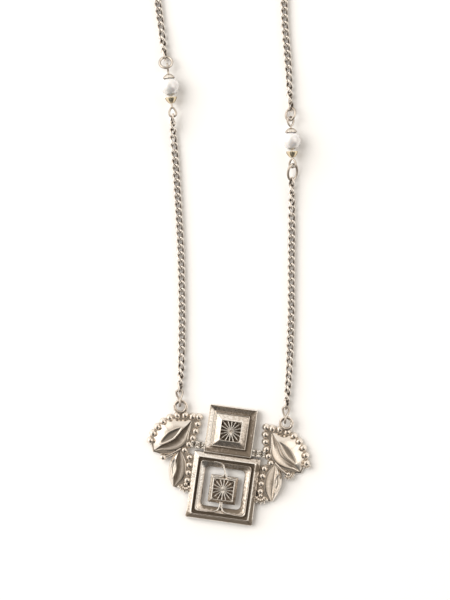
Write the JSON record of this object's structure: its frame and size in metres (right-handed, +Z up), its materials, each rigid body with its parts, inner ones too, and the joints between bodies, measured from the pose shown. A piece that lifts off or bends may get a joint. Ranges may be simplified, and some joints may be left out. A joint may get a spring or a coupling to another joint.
{
  "type": "necklace",
  "caption": "Curb chain necklace with drilled pearls and a cast pendant of square frames between beaded leaf wings, lying flat in an open loop.",
  "frame": {"origin": "centre of the whole loop's footprint, on the surface the necklace lies on", "axes": "+X to the right across the loop, +Y from the pendant to the clasp, +Z up from the surface"},
  "size_m": [0.0456, 0.21, 0.005],
  "materials": {
    "antiqued_metal": "cast silver-tone metal with a warm dark patina in the hollows and rubbed bright edges",
    "bright_metal": "silver-tone wire, worn bright with faint tarnish in the crooks",
    "warm_metal": "brass-toned, slightly tarnished",
    "pearl": "white pearl lustre",
    "crystal": "clear cut glass"
  },
  "bodies": {
    "root": {"pendant": "antiqued_metal", "crystal_1": "crystal", "crystal_2": "crystal", "crystal_3": "crystal", "crystal_4": "crystal", "link_left": "bright_metal", "link_right": "bright_metal", "chain_left_front": "bright_metal", "chain_right_front": "bright_metal", "chain_left_back": "bright_metal", "chain_right_back": "bright_metal", "pearl_left": "pearl", "pearl_right": "pearl", "pin_left": "bright_metal", "pin_right": "bright_metal", "cap_left_upper": "bright_metal", "cap_left_lower": "warm_metal", "cap_right_upper": "bright_metal", "cap_right_lower": "warm_metal", "ring_left_upper": "bright_metal", "ring_right_upper": "bright_metal", "ring_right_lower": "bright_metal", "clasp": "bright_metal"}
  },
  "joints": []
}
